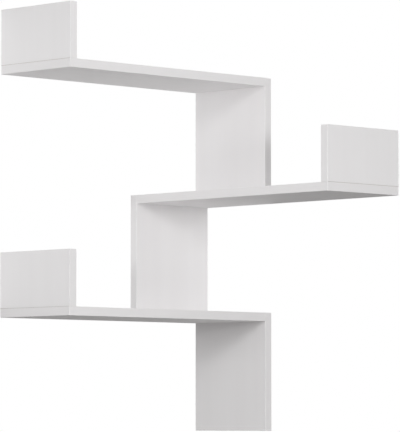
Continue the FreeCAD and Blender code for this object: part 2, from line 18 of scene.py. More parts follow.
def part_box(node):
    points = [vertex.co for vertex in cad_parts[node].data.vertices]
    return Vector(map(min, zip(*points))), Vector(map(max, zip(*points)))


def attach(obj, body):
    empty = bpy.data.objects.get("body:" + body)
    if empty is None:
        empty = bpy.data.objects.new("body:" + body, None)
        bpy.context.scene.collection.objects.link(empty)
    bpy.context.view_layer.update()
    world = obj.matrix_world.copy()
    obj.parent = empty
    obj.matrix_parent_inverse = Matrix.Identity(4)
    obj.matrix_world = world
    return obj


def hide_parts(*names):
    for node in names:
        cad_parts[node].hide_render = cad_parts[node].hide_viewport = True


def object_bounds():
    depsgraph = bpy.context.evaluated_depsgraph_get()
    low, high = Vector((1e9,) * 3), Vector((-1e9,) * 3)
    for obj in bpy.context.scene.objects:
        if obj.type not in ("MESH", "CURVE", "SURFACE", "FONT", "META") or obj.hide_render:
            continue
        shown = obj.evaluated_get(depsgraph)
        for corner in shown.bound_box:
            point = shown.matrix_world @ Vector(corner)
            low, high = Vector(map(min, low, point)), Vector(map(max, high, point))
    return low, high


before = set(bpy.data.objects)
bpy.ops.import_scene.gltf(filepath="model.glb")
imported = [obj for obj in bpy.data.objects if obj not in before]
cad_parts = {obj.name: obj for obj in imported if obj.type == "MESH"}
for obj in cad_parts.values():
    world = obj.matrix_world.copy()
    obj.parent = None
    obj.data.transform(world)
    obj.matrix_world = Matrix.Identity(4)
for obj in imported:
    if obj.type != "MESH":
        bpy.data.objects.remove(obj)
CAD_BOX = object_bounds()
BODY = "root"
WELD = 0.000001
SHARP = math.radians(32.0)

Colour = tuple[float, float, float]
Span = tuple[float, float]
Outline = list[tuple[float, float]]
Material = bpy.types.Material
Shape = bmesh.types.BMesh
Socket = bpy.types.NodeSocket
Sockets = bpy.types.NodeOutputs
Feed = float | Colour | Socket

FULL: Span = (0.0, 1.0)
WHITE: Colour = (1.0, 1.0, 1.0)
ORIGIN = (0.0, 0.0, 0.0)
UP = (0.0, 0.0, 1.0)

log = logging.getLogger("corner_wall_shelf")


class Axis(Enum):
    """A direction of the room, by its place in a vector."""

    X = 0
    Y = 1
    Z = 2

    @property
    def direction(self) -> Vector:
        """The axis as a vector of length one."""
        return Vector([float(index == self.value) for index in range(3)])

    @property
    def to_wall(self) -> Vector:
        """The way along a level axis to the wall that stands across it."""
        return self.direction if self is Axis.Y else -self.direction

    @classmethod
    def of(cls, way: Vector) -> "Axis":
        """Returns the axis that a direction follows most."""
        return max(cls, key=lambda axis: abs(way[axis.value]))


class Mixed(Enum):
    """What a mix node mixes: its data type, and the places of its two inputs and its output."""

    COLOURS = ("RGBA", 6, 7, 2)
    VECTORS = ("VECTOR", 4, 5, 1)


@dataclass(frozen=True)
class Spots:
    """The look of a noise: its spots per metre, its finer layers and how strong those are."""

    scale: float
    detail: float = 2.0
    rough: float = 0.5


@dataclass(frozen=True)
class Relief:
    """How much of a surface's relief shows, and how deep it is."""

    strength: float
    depth: float


class Graph:
    """The nodes of one material, with short ways to add to them."""

    def __init__(self, name: str) -> None:
        """Starts a material that has only its shader.

        Args:
            name: what the material is called.
        """
        self.material = bpy.data.materials.new(name)
        self.material.use_nodes = True
        self.tree = self.material.node_tree
        self.shader = self.tree.nodes["Principled BSDF"]

    def feed(self, socket: Socket, value: Feed) -> None:
        """Joins a socket to another one, or sets it to a constant.

        Args:
            socket: the input that is fed.
            value: an output socket, a number, a colour or a vector.
        """
        if isinstance(value, Socket):
            self.tree.links.new(value, socket)
        elif socket.type == "RGBA":
            socket.default_value = (*value, 1.0)
        else:
            socket.default_value = value

    def add(self, kind: str, feeds: dict[str | int, Feed], **settings: object) -> bpy.types.Node:
        """Adds a node.

        Args:
            kind: the node's type, without the words that all shader nodes share.
            feeds: what goes into its sockets, by name or place.
            settings: its own properties.

        Returns:
            The new node.
        """
        node = self.tree.nodes.new(f"ShaderNode{kind}")
        for name, value in settings.items():
            setattr(node, name, value)
        for key, value in feeds.items():
            self.feed(node.inputs[key], value)
        return node

    def shade(self, feeds: dict[str, Feed]) -> None:
        """Feeds the shader's own sockets by name."""
        for name, value in feeds.items():
            self.feed(self.shader.inputs[name], value)

    def bump(self, height: Feed, relief: Relief) -> None:
        """Gives the shader a relief, by its height from 0 to 1."""
        feeds = {"Strength": relief.strength, "Distance": relief.depth, "Height": height}
        self.shade({"Normal": self.add("Bump", feeds).outputs["Normal"]})

    def spot(self) -> Socket:
        """Returns the coordinates of the object."""
        return self.add("TexCoord", {}).outputs["Object"]

    def math(self, operation: str, *values: Feed) -> Socket:
        """Returns the outcome of a sum on numbers or sockets."""
        return self.add("Math", dict(enumerate(values)), operation=operation).outputs[0]

    def vector(self, operation: str, *values: Feed) -> Socket:
        """Returns the outcome of a sum on vectors."""
        return self.add("VectorMath", dict(enumerate(values)), operation=operation).outputs[0]

    def stretch(self, place: Feed, share: float) -> Socket:
        """Returns coordinates that draw a pattern out along their first axis."""
        return self.vector("MULTIPLY", place, (share, 1.0, 1.0))

    def axes(self, place: Feed) -> Sockets:
        """Returns the X, Y and Z of a vector, by name."""
        return self.add("SeparateXYZ", {"Vector": place}).outputs

    def channels(self, colour: Feed) -> Sockets:
        """Returns the Red, Green and Blue of a colour, by name."""
        return self.add("SeparateColor", {"Color": colour}).outputs

    def cells(self, place: Feed, scale: float) -> Sockets:
        """Returns the Color and Distance of a pattern of cells, with so many to the metre."""
        return self.add("TexVoronoi", {"Vector": place, "Scale": scale}).outputs

    def noise(self, place: Feed, spots: Spots) -> Sockets:
        """Returns the Fac and Color of a noise, by name."""
        feeds = {"Vector": place, "Scale": spots.scale, "Detail": spots.detail, "Roughness": spots.rough}
        return self.add("TexNoise", feeds).outputs

    def cloud(self, place: Feed, spots: Spots) -> Socket:
        """Returns a noise without colour."""
        return self.noise(place, spots)["Fac"]

    def remap(self, value: Feed, taken: Span, given: Span = FULL) -> Socket:
        """Stretches a value from one range to another, held at the ends.

        Args:
            value: what is stretched.
            taken: the range that it comes in.
            given: the range that it leaves in.

        Returns:
            The stretched value.
        """
        feeds = {"Value": value, "From Min": taken[0], "From Max": taken[1],
                 "To Min": given[0], "To Max": given[1]}
        return self.add("MapRange", feeds).outputs[0]

    def weigh(self, share: float, first: Feed, second: Feed) -> Socket:
        """Returns the sum of two values by weight: the first has this share and the second the rest."""
        rest = self.math("MULTIPLY", second, 1.0 - share)
        return self.math("ADD", self.math("MULTIPLY", first, share), rest)

    def mix(self, share: Feed, first: Feed, second: Feed, mixed: Mixed = Mixed.COLOURS) -> Socket:
        """Mixes two colours or vectors.

        Args:
            share: how much of the second there is.
            first: what shows at no share.
            second: what shows at full share.
            mixed: which of the two kinds they are.

        Returns:
            The mixture.
        """
        kind, one, other, outcome = mixed.value
        feeds = {"Factor": share, one: first, other: second}
        return self.add("Mix", feeds, data_type=kind).outputs[outcome]

    def two_tone(self, value: Feed, taken: Span, first: Colour, second: Colour) -> Socket:
        """Returns a colour that goes from one tone to another as a value crosses a range."""
        return self.mix(self.remap(value, taken), first, second)


@dataclass(frozen=True)
class Lie:
    """How a piece lies: its middle, its half sizes, and the ways of its length, width and thickness."""

    middle: Vector
    half: Vector
    axes: tuple[Vector, Vector, Vector]

    @classmethod
    def of(cls, node: str, grain: Axis | None = None) -> "Lie":
        """Reads how a node of the frame lies.

        Args:
            node: the node's name.
            grain: the way its grain runs, or None for its longest side.

        Returns:
            The node's lie, with its length along the grain and its thinnest side as thickness.
        """
        low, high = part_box(node)
        size = high - low
        order = sorted(Axis, key=lambda axis: size[axis.value])
        thin = order[0]
        length = grain or order[-1]
        width = next(axis for axis in Axis if axis not in (thin, length))
        turn = (length.direction, width.direction, length.direction.cross(width.direction))
        half = Vector([size[axis.value] / 2 for axis in (length, width, thin)])
        return cls((low + high) / 2, half, turn)

    @property
    def thickness(self) -> Vector:
        """The direction through the piece."""
        return self.axes[2]

    def place(self, graph: Graph, shift: float = 0.0) -> Socket:
        """Adds coordinates from the piece's middle along its length, width and thickness.

        Args:
            graph: the material's nodes.
            shift: how far the pattern is slid along every axis, so that pieces differ.

        Returns:
            The coordinates, in metres.
        """
        turned_by = Matrix(self.axes).transposed().to_euler()
        feeds = {"Vector": graph.spot(), "Location": self.middle, "Rotation": turned_by}
        own = graph.add("Mapping", feeds, vector_type="TEXTURE").outputs[0]
        return graph.vector("ADD", own, (shift, shift, shift)) if shift else own

    def inset(self, graph: Graph, place: Socket) -> Socket:
        """Returns how far in each spot of a broad face is from that face's nearest border."""
        sides = graph.axes(graph.vector("SUBTRACT", tuple(self.half), graph.vector("ABSOLUTE", place)))
        return graph.math("MINIMUM", sides["X"], sides["Y"])


@dataclass(frozen=True)
class MelamineFace:
    """White melamine on a board's two broad faces, printed with a faint grain.

    A board that stands on another one may have a dark line along its foot: the joint itself and painted
    shadow in the joint's open gap and in the corner that it makes.
    """

    tone: Colour = (0.890, 0.877, 0.881)
    streak: Colour = (0.878, 0.864, 0.868)
    stretch: float = 0.03
    broad_grain: Spots = Spots(38.0)
    fine_grain: Spots = Spots(520.0, detail=3.0, rough=0.6)
    broad_share: float = 0.65
    grain_range: Span = (0.38, 0.62)
    glue_tone: Colour = (0.62, 0.60, 0.59)
    glue_width: float = 0.00012
    glue_share: float = 0.8
    # Width and tone of the dark line at the foot: the joint and its painted shadow.
    seam_and_shadow: float = 0.0
    seam_and_shadow_tone: Colour = (0.52, 0.51, 0.505)
    smudges: Spots = Spots(9.0, detail=3.0)
    smudge_range: Span = (0.3, 0.7)
    roughness: Span = (0.40, 0.50)
    relief: Relief = Relief(strength=0.12, depth=0.0001)

    def paint(self, name: str, lie: Lie, shift: float) -> Material:
        """Makes the finish for one board.

        Args:
            name: the board's name.
            lie: how the board lies.
            shift: how far its print is slid.

        Returns:
            The board's face material.
        """
        graph = Graph(f"white_melamine_{name}")
        place = lie.place(graph)
        printed = graph.stretch(lie.place(graph, shift), self.stretch)
        fine = graph.cloud(printed, self.fine_grain)
        grain = graph.weigh(self.broad_share, graph.cloud(printed, self.broad_grain), fine)
        tone = graph.two_tone(grain, self.grain_range, self.tone, self.streak)
        glue = graph.remap(lie.inset(graph, place), (0.0, self.glue_width), (self.glue_share, 0.0))
        tone = graph.mix(glue, tone, self.glue_tone)
        # Painted shadow: a dark line along the foot stands for the joint and the shade in its gap.
        if self.seam_and_shadow:
            above_foot = graph.math("ADD", graph.axes(place)["X"], lie.half.x)
            gap = graph.remap(above_foot, (self.seam_and_shadow / 2, self.seam_and_shadow), (1.0, 0.0))
            tone = graph.mix(gap, tone, self.seam_and_shadow_tone)
        smudge = graph.cloud(place, self.smudges)
        graph.shade({"Base Color": tone,
                     "Roughness": graph.remap(smudge, self.smudge_range, self.roughness)})
        graph.bump(fine, self.relief)
        return graph.material


@dataclass(frozen=True)
class ChipboardCore:
    """Raw chipboard where no face or band covers it: coarse chips in the middle, fine ones outside."""

    pale: Colour = (0.72, 0.56, 0.37)
    dark: Colour = (0.43, 0.295, 0.17)
    flake: tuple[float, float, float] = (0.45, 0.45, 1.0)
    coarse_chips: float = 620.0
    fine_chips: float = 1900.0
    outer_layer: Span = (0.45, 0.75)
    wobble: Spots = Spots(300.0)
    wobble_share: float = 0.004
    gap_width: float = 1.3
    gap_shade: float = 0.55
    roughness: float = 0.88
    relief: Relief = Relief(strength=0.5, depth=0.0004)

    def paint(self, name: str, lie: Lie) -> Material:
        """Makes the finish for one board.

        Args:
            name: the board's name.
            lie: how the board lies.

        Returns:
            The board's core material.
        """
        graph = Graph(f"raw_chipboard_{name}")
        place = lie.place(graph)
        flat = graph.vector("MULTIPLY", place, self.flake)
        wobble = graph.noise(place, self.wobble)["Color"]
        bent = graph.mix(self.wobble_share, flat, wobble, Mixed.VECTORS)
        coarse = graph.cells(bent, self.coarse_chips)
        fine = graph.cells(bent, self.fine_chips)
        through = graph.axes(graph.vector("ABSOLUTE", place))["Z"]
        start, full = self.outer_layer
        outer = graph.remap(through, (start * lie.half.z, full * lie.half.z))
        chips = graph.mix(outer, coarse["Color"], fine["Color"])
        tone = graph.mix(graph.channels(chips)["Red"], self.dark, self.pale)
        gap = graph.math("MULTIPLY", coarse["Distance"], self.gap_width)
        deep = graph.math("MULTIPLY", gap, graph.math("SUBTRACT", 1.0, outer))
        shaded = graph.math("MULTIPLY", deep, self.gap_shade)
        graph.shade({"Base Color": graph.mix(shaded, tone, self.dark), "Roughness": self.roughness})
        graph.bump(graph.math("SUBTRACT", 1.0, deep), self.relief)
        return graph.material


@dataclass(frozen=True)
class EdgeBanding:
    """White plastic edging with a grain along it, a little worn where its edges are rounded."""

    tone: Colour = (0.860, 0.848, 0.851)
    streak: Colour = (0.847, 0.834, 0.837)
    rubbed: Colour = (0.79, 0.775, 0.775)
    stretch: float = 0.02
    grain: Spots = Spots(640.0, detail=3.0, rough=0.6)
    grain_range: Span = (0.35, 0.65)
    arris: float = 0.0009
    wear: Spots = Spots(60.0, detail=3.0)
    wear_range: Span = (0.48, 0.66)
    wear_share: float = 0.35
    skin_range: Span = (0.3, 0.7)
    roughness: Span = (0.36, 0.46)
    relief: Relief = Relief(strength=0.10, depth=0.00008)

    def paint(self, name: str, lie: Lie) -> Material:
        """Makes the finish for one band.

        Args:
            name: the band's name.
            lie: how the band lies.

        Returns:
            The band's material.
        """
        graph = Graph(f"white_edging_{name}")
        place = lie.place(graph)
        grain = graph.cloud(graph.stretch(place, self.stretch), self.grain)
        tone = graph.two_tone(grain, self.grain_range, self.tone, self.streak)
        patches = graph.remap(graph.cloud(place, self.wear), self.wear_range)
        edge = graph.remap(lie.inset(graph, place), (0.0, self.arris), (self.wear_share, 0.0))
        worn = graph.math("MULTIPLY", edge, patches)
        graph.shade({"Base Color": graph.mix(worn, tone, self.rubbed),
                     "Roughness": graph.remap(grain, self.skin_range, self.roughness)})
        graph.bump(grain, self.relief)
        return graph.material


@dataclass(frozen=True)
class BareBeech:
    """Turned beech, with its flecks along the dowel."""

    pale: Colour = (0.66, 0.48, 0.30)
    fleck: Colour = (0.46, 0.29, 0.15)
    stretch: float = 0.06
    rings: Spots = Spots(420.0)
    ring_range: Span = (0.35, 0.7)
    ring_share: float = 0.4
    flecks: Spots = Spots(2600.0)
    fleck_range: Span = (0.58, 0.66)
    fleck_share: float = 0.6
    roughness: float = 0.62
    relief: Relief = Relief(strength=0.3, depth=0.0001)

    def paint(self, name: str, lie: Lie) -> Material:
        """Makes the finish for dowels that lie one way.

        Args:
            name: the node's name.
            lie: how the dowels lie, with their length along the grain.

        Returns:
            The dowels' material.
        """
        graph = Graph(f"bare_beech_{name}")
        along = graph.stretch(lie.place(graph), self.stretch)
        rings = graph.cloud(along, self.rings)
        flecks = graph.cloud(along, self.flecks)
        share = graph.math("ADD", graph.remap(rings, self.ring_range, (0.0, self.ring_share)),
                           graph.remap(flecks, self.fleck_range, (0.0, self.fleck_share)))
        graph.shade({"Base Color": graph.mix(share, self.pale, self.fleck), "Roughness": self.roughness})
        graph.bump(flecks, self.relief)
        return graph.material


@dataclass(frozen=True)
class MottledSkin:
    """A finish of two tones in soft clouds, with a fine grain on its skin."""

    name: str
    tone: Colour
    mottle: Colour
    metallic: float
    clouds: Spots
    skin: Spots
    roughness: Span
    relief: Relief
    cloud_range: Span = (0.35, 0.65)
    skin_range: Span = (0.3, 0.7)

    def paint(self) -> Material:
        """Makes the finish.

        Returns:
            The finish's material.
        """
        graph = Graph(self.name)
        place = graph.spot()
        clouds = graph.cloud(place, self.clouds)
        skin = graph.cloud(place, self.skin)
        graph.shade({"Base Color": graph.two_tone(clouds, self.cloud_range, self.tone, self.mottle),
                     "Metallic": self.metallic,
                     "Roughness": graph.remap(skin, self.skin_range, self.roughness)})
        graph.bump(skin, self.relief)
        return graph.material


@dataclass(frozen=True)
class CastZinc(MottledSkin):
    """Die-cast zinc, dull and slightly grainy."""

    name: str = "cast_zinc"
    tone: Colour = (0.56, 0.56, 0.57)
    mottle: Colour = (0.42, 0.42, 0.435)
    metallic: float = 1.0
    clouds: Spots = Spots(260.0, detail=3.0)
    skin: Spots = Spots(3800.0)
    roughness: Span = (0.42, 0.62)
    relief: Relief = Relief(strength=0.25, depth=0.00008)


@dataclass(frozen=True)
class PlatedSteel(MottledSkin):
    """Zinc-plated steel, bright, with a faint straw and blue tint."""

    name: str = "plated_steel"
    tone: Colour = (0.68, 0.66, 0.60)
    mottle: Colour = (0.62, 0.65, 0.68)
    metallic: float = 1.0
    clouds: Spots = Spots(140.0)
    skin: Spots = Spots(2400.0)
    roughness: Span = (0.22, 0.36)
    relief: Relief = Relief(strength=0.12, depth=0.00005)


@dataclass(frozen=True)
class SatinCap(MottledSkin):
    """Moulded white plastic with a fine spark-eroded skin."""

    name: str = "satin_cap"
    tone: Colour = (0.885, 0.872, 0.872)
    mottle: Colour = (0.870, 0.856, 0.852)
    metallic: float = 0.0
    clouds: Spots = Spots(120.0)
    skin: Spots = Spots(4200.0)
    roughness: Span = (0.44, 0.56)
    relief: Relief = Relief(strength=0.2, depth=0.00005)


@dataclass(frozen=True)
class GalvanisedSheet:
    """Galvanised sheet steel with its spangle."""

    bright: Colour = (0.72, 0.73, 0.74)
    grey: Colour = (0.64, 0.65, 0.67)
    spangle: float = 420.0
    spangle_share: float = 0.75
    feather: Spots = Spots(1500.0, detail=3.0)
    roughness: Span = (0.28, 0.50)
    relief: Relief = Relief(strength=0.12, depth=0.00006)

    def paint(self) -> Material:
        """Makes the finish.

        Returns:
            The sheet's material.
        """
        graph = Graph("galvanised_sheet")
        place = graph.spot()
        crystals = graph.channels(graph.cells(place, self.spangle)["Color"])
        feather = graph.cloud(place, self.feather)
        share = graph.weigh(self.spangle_share, crystals["Red"], feather)
        graph.shade({"Base Color": graph.mix(share, self.bright, self.grey),
                     "Metallic": 1.0,
                     "Roughness": graph.remap(crystals["Green"], FULL, self.roughness)})
        graph.bump(feather, self.relief)
        return graph.material


@dataclass
class Carcass:
    """The nine boards and the bands on their edges, which keep the shapes of the frame."""

    face: MelamineFace = MelamineFace()
    # End panels get the painted shadow line of the joint along their foot.
    end_face: MelamineFace = MelamineFace(seam_and_shadow=0.0007)
    core: ChipboardCore = ChipboardCore()
    edging: EdgeBanding = EdgeBanding()
    flush: float = 0.00001
    print_shift: float = 1.7

    GRAINS: ClassVar[dict[str, Axis]] = {
        "bottom_shelf": Axis.Y, "middle_shelf": Axis.X, "top_shelf": Axis.Y,
        "lower_wall_panel": Axis.Z, "middle_wall_panel": Axis.Z, "upper_wall_panel": Axis.Z,
        "bottom_end_panel": Axis.Z, "middle_end_panel": Axis.Z, "top_end_panel": Axis.Z,
    }

    def build(self) -> list[str]:
        """Dresses the boards and bands.

        Returns:
            The names of the nodes that are dressed.
        """
        done = []
        for count, (board, grain) in enumerate(self.GRAINS.items(), start=1):
            self.dress_board(board, Lie.of(board, grain), count * self.print_shift)
            bands = [node for node in nodes_ending("_band") if node.startswith(board)]
            for band in bands:
                wear(band, self.edging.paint(band, Lie.of(band)))
            done += [board, *bands]
        return done

    def dress_board(self, board: str, lie: Lie, shift: float) -> None:
        """Faces a board with melamine and leaves its edges and holes bare.

        Args:
            board: the board's name.
            lie: how it lies.
            shift: how far its print is slid.
        """
        face = self.end_face if board.endswith("_end_panel") else self.face
        wear(board, face.paint(board, lie, shift), self.core.paint(board, lie))
        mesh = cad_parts[board].data
        middle = lie.middle.dot(lie.thickness)
        for polygon in mesh.polygons:
            off_middle = abs(polygon.center.dot(lie.thickness) - middle)
            faced = abs(off_middle - lie.half.z) < self.flush
            polygon.material_index = 0 if faced else 1


@dataclass(frozen=True)
class Seat:
    """Where one fitting sits: the near end of its axis, the way it points and the way to its twin."""

    start: Vector
    ahead: Vector
    across: Vector

    @classmethod
    def pair(cls, node: str, ahead: Vector) -> list["Seat"]:
        """Reads the seats of a node that holds two round fittings side by side.

        Args:
            node: the node's name.
            ahead: the way that both fittings point, along one of the axes.

        Returns:
            The two seats.
        """
        low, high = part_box(node)
        size = high - low
        along = Axis.of(ahead)
        others = [axis for axis in Axis if axis is not along]
        thin, wide = sorted(others, key=lambda axis: size[axis.value])
        start = (low + high - ahead * size[along.value]) / 2
        reach = (size[wide.value] - size[thin.value]) / 2
        across = wide.direction
        return [cls(start + across * side * reach, ahead, across) for side in (-1, 1)]

    @property
    def matrix(self) -> Matrix:
        """The move from the drawing board, where a fitting points up +Z, to this seat."""
        turn = Matrix((self.across.cross(self.ahead), self.across, self.ahead)).transposed()
        return Matrix.Translation(self.start) @ turn.to_4x4()


@dataclass(frozen=True)
class Thread:
    """A screw thread on part of a turned shape.

    Its crest, its flank and the run-out at its ends are shares of its pitch.
    """

    start: float
    end: float
    pitch: float
    core: float
    height: float
    rows_per_pitch: int = 12
    crest: float = 0.05
    flank: float = 0.28
    run_out: float = 0.8

    def rows(self) -> Outline:
        """Lays out the rows of points that the thread needs.

        Returns:
            The radius and height of each row.
        """
        count = round((self.end - self.start) / self.pitch * self.rows_per_pitch)
        step = (self.end - self.start) / count
        return [(self.core, self.start + index * step) for index in range(count + 1)]

    def cut(self, shape: Shape) -> None:
        """Raises the thread's ridge from the core and fades it out at both ends.

        Args:
            shape: a turned shape that has the thread's rows.
        """
        fade = self.run_out * self.pitch
        for vert in shape.verts:
            run = min(vert.co.z - self.start, self.end - vert.co.z)
            if run > 0.0:
                turn = math.atan2(vert.co.y, vert.co.x) / math.tau
                off_crest = abs((vert.co.z / self.pitch - turn) % 1.0 - 0.5)
                ridge = min(1.0, max(0.0, 1.0 - (off_crest - self.crest) / self.flank))
                vert.co.xy *= 1.0 + self.height * ridge * min(1.0, run / fade) / self.core


@dataclass(frozen=True)
class Recess:
    """The hollow that a driver fits into."""

    class Form(Enum):
        """What shape the hollow has."""

        HEXAGON = "hexagon"
        CROSS = "cross"

    form: Form
    width: float
    depth: float
    arm: float = 0.0
    draft: float = 0.82

    HEXAGON_SIDES: ClassVar[int] = 6
    CROSS_SQUARES: ClassVar[int] = 3

    def sink(self, shape: Shape, level: float, inward: float) -> None:
        """Closes the open end of a turned shape round this recess and sinks the recess into it.

        Args:
            shape: the turned shape, with one end open.
            level: the height of the open end.
            inward: 1 where the recess goes up from there, -1 where it goes down.
        """
        rim = [edge for edge in shape.edges if edge.is_boundary]
        mouth = self.draw_mouth(shape, Matrix.Translation((0.0, 0.0, level)))
        borders = list(dict.fromkeys(edge for face in mouth for edge in face.edges))
        lip = [edge for edge in borders if edge.is_boundary]
        bmesh.ops.triangle_fill(shape, use_beauty=True, edges=rim + lip, normal=(0.0, 0.0, -inward))
        sunk = bmesh.ops.extrude_face_region(shape, geom=mouth + borders)["geom"]
        floor = [item for item in sunk if isinstance(item, bmesh.types.BMVert)]
        bmesh.ops.scale(shape, vec=(self.draft, self.draft, 1.0), verts=floor)
        bmesh.ops.translate(shape, vec=(0.0, 0.0, inward * self.depth), verts=floor)

    def draw_mouth(self, shape: Shape, lift: Matrix) -> list[bmesh.types.BMFace]:
        """Draws the recess's mouth as flat faces.

        Args:
            shape: the shape that gets them.
            lift: the move up to the end that they lie in.

        Returns:
            The mouth's faces.
        """
        if self.form is Recess.Form.HEXAGON:
            made = bmesh.ops.create_circle(shape, cap_ends=True, segments=self.HEXAGON_SIDES,
                                           radius=self.width / math.sqrt(3.0), matrix=lift)
            return faces_of(made["verts"])
        made = bmesh.ops.create_grid(shape, x_segments=self.CROSS_SQUARES, y_segments=self.CROSS_SQUARES,
                                     size=self.width / 2, matrix=lift)
        for vert in made["verts"]:
            for axis in (Axis.X.value, Axis.Y.value):
                if abs(vert.co[axis]) < self.width / 4:
                    vert.co[axis] = math.copysign(self.arm / 2, vert.co[axis])
        squares = faces_of(made["verts"])
        corners = [face for face in squares
                   if min(map(abs, face.calc_center_median().xy)) > self.arm / 2]
        bmesh.ops.delete(shape, geom=corners, context="FACES")
        return [face for face in squares if face.is_valid]


@dataclass
class Dowels:
    """The fluted beech dowels in every board joint."""

    finish: BareBeech = BareBeech()
    chamfer: float = 0.001
    flutes: int = 20
    flute_depth: float = 0.00025
    sides_per_flute: int = 4

    def build(self) -> list[str]:
        """Makes the two dowels of each joint.

        Returns:
            The names of the new pieces.
        """
        made = []
        for node in nodes_ending("_dowels"):
            ahead = joint_direction(node)
            low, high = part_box(node)
            length = abs((high - low).dot(ahead))
            lie = Lie.of(node, Axis.of(ahead))
            shape = self.draw(lie.half.z, length)
            name = node.replace("_dowels", "_fluted_dowels")
            set_in_place(name, shape, Seat.pair(node, ahead), self.finish.paint(node, lie))
            stand_for(name, node)
            made.append(name)
        return made

    def draw(self, radius: float, length: float) -> Shape:
        """Draws one dowel.

        Args:
            radius: its radius over the flutes.
            length: its length.

        Returns:
            The dowel's shape.
        """
        small = radius - self.chamfer
        outline = [(0.0, 0.0), (small, 0.0), (radius, self.chamfer), (radius, length - self.chamfer),
                   (small, length), (0.0, length)]
        shape = turned(outline, self.flutes * self.sides_per_flute)
        for vert in shape.verts:
            if vert.co.xy.length > (radius + small) / 2:
                wave = math.cos(self.flutes * math.atan2(vert.co.y, vert.co.x))
                vert.co.xy *= 1.0 - self.flute_depth * (1.0 + wave) / 2 / radius
        return shape


@dataclass
class CamFittings:
    """Cams in a panel, the bolts that they pull down and the caps that cover the cams in view."""

    zinc: CastZinc = CastZinc()
    plating: PlatedSteel = PlatedSteel()
    plastic: SatinCap = SatinCap()
    cam_radius: float = 0.0075
    cam_length: float = 0.0138
    cam_head: float = 0.0046
    cam_floor: float = 0.0012
    cam_wall: float = 0.0023
    cam_rim: float = 0.0004
    cam_mouth: float = math.radians(84.0)
    cam_slot: Recess = Recess(Recess.Form.CROSS, width=0.0080, depth=0.0030, arm=0.0020, draft=1.0)
    mark_corners: int = 3
    mark_radius: float = 0.0011
    mark_height: float = 0.00015
    mark_offset: float = 0.0058
    bolt_tip: float = 0.0016
    bolt_thread: Thread = Thread(start=0.0012, end=0.0108, pitch=0.0020, core=0.0023, height=0.0007)
    bolt_collar: float = 0.0035
    bolt_collar_low: float = 0.0110
    bolt_collar_high: float = 0.0285
    bolt_neck: float = 0.0020
    bolt_head: float = 0.0035
    bolt_head_low: float = 0.0335
    bolt_length: float = 0.0365
    bolt_bevel: float = 0.0006
    bolt_slot: Recess = Recess(Recess.Form.CROSS, width=0.0036, depth=0.0014, arm=0.0010)
    sides: int = 48

    def build(self) -> list[str]:
        """Makes the cams and bolts of each panel and dresses the caps.

        Returns:
            The names of the pieces.
        """
        zinc, plating, plastic = self.zinc.paint(), self.plating.paint(), self.plastic.paint()
        made = []
        for node in nodes_ending("_cams"):
            name = node.replace("_cams", "_cam_castings")
            set_in_place(name, self.draw_cam(), Seat.pair(node, wallward(node)), zinc)
            stand_for(name, node)
            made.append(name)
        for node in nodes_ending("_cam_bolts"):
            name = node.replace("_cam_bolts", "_threaded_bolts")
            set_in_place(name, self.draw_bolt(), Seat.pair(node, Axis.Z.direction), plating)
            stand_for(name, node)
            made.append(name)
        for node in nodes_ending("_cam_caps"):
            wear(node, plastic)
            made.append(node)
        return made

    def draw_cam(self) -> Shape:
        """Draws one cam: a slotted head and a floor, and between them a wall that is open to the bolt.

        Returns:
            The cam's shape.
        """
        radius, top, rim, floor = self.cam_radius, self.cam_length, self.cam_rim, self.cam_floor
        under = top - self.cam_head
        head = [(0.0, under), (radius, under), (radius, top - rim), (radius - rim, top)]
        disc = [(0.0, 0.0), (radius - rim, 0.0), (radius, rim), (radius, floor), (0.0, floor)]
        shape = turned(head, self.sides)
        self.cam_slot.sink(shape, top, inward=-1.0)
        turned(disc, self.sides, shape)
        self.raise_wall(shape, floor, under)
        mark = Matrix.Translation((-self.mark_offset, 0.0, top)) @ Matrix.Rotation(math.pi, 4, "Z")
        bmesh.ops.create_cone(shape, cap_ends=True, segments=self.mark_corners, radius1=self.mark_radius,
                              radius2=self.mark_radius, depth=2.0 * self.mark_height, matrix=mark)
        return shape

    def raise_wall(self, shape: Shape, low: float, high: float) -> None:
        """Raises a cam's wall, with its gap on the side that the bolt comes from.

        Args:
            shape: the cam so far.
            low: the height of the floor's top.
            high: the height of the head's underside.
        """
        outer, inner = self.cam_radius, self.cam_radius - self.cam_wall
        corners = [(outer, low), (outer, high), (inner, high), (inner, low)]
        end = shape.faces.new([shape.verts.new((radius, 0.0, height)) for radius, height in corners])
        begin = Matrix.Rotation(self.cam_mouth / 2 - math.pi, 3, "Z")
        bmesh.ops.rotate(shape, verts=end.verts, cent=ORIGIN, matrix=begin)
        bmesh.ops.spin(shape, geom=[end, *end.edges, *end.verts], cent=ORIGIN, axis=UP,
                       angle=math.tau - self.cam_mouth, steps=self.sides)

    def draw_bolt(self) -> Shape:
        """Draws one bolt, from its threaded tip up to its head.

        Returns:
            The bolt's shape.
        """
        collar, low, high = self.bolt_collar, self.bolt_collar_low, self.bolt_collar_high
        head, under, top = self.bolt_head, self.bolt_head_low, self.bolt_length
        neck, bevel = self.bolt_neck, self.bolt_bevel
        outline = [(0.0, 0.0), (self.bolt_tip, 0.0), *self.bolt_thread.rows(),
                   (self.bolt_thread.core, low), (collar, low), (collar, high - bevel),
                   (collar - bevel, high), (neck, high), (neck, under), (head - bevel, under),
                   (head, under + bevel), (head, top - bevel), (head - bevel, top)]
        shape = turned(outline, self.sides)
        self.bolt_thread.cut(shape)
        self.bolt_slot.sink(shape, top, inward=-1.0)
        return shape


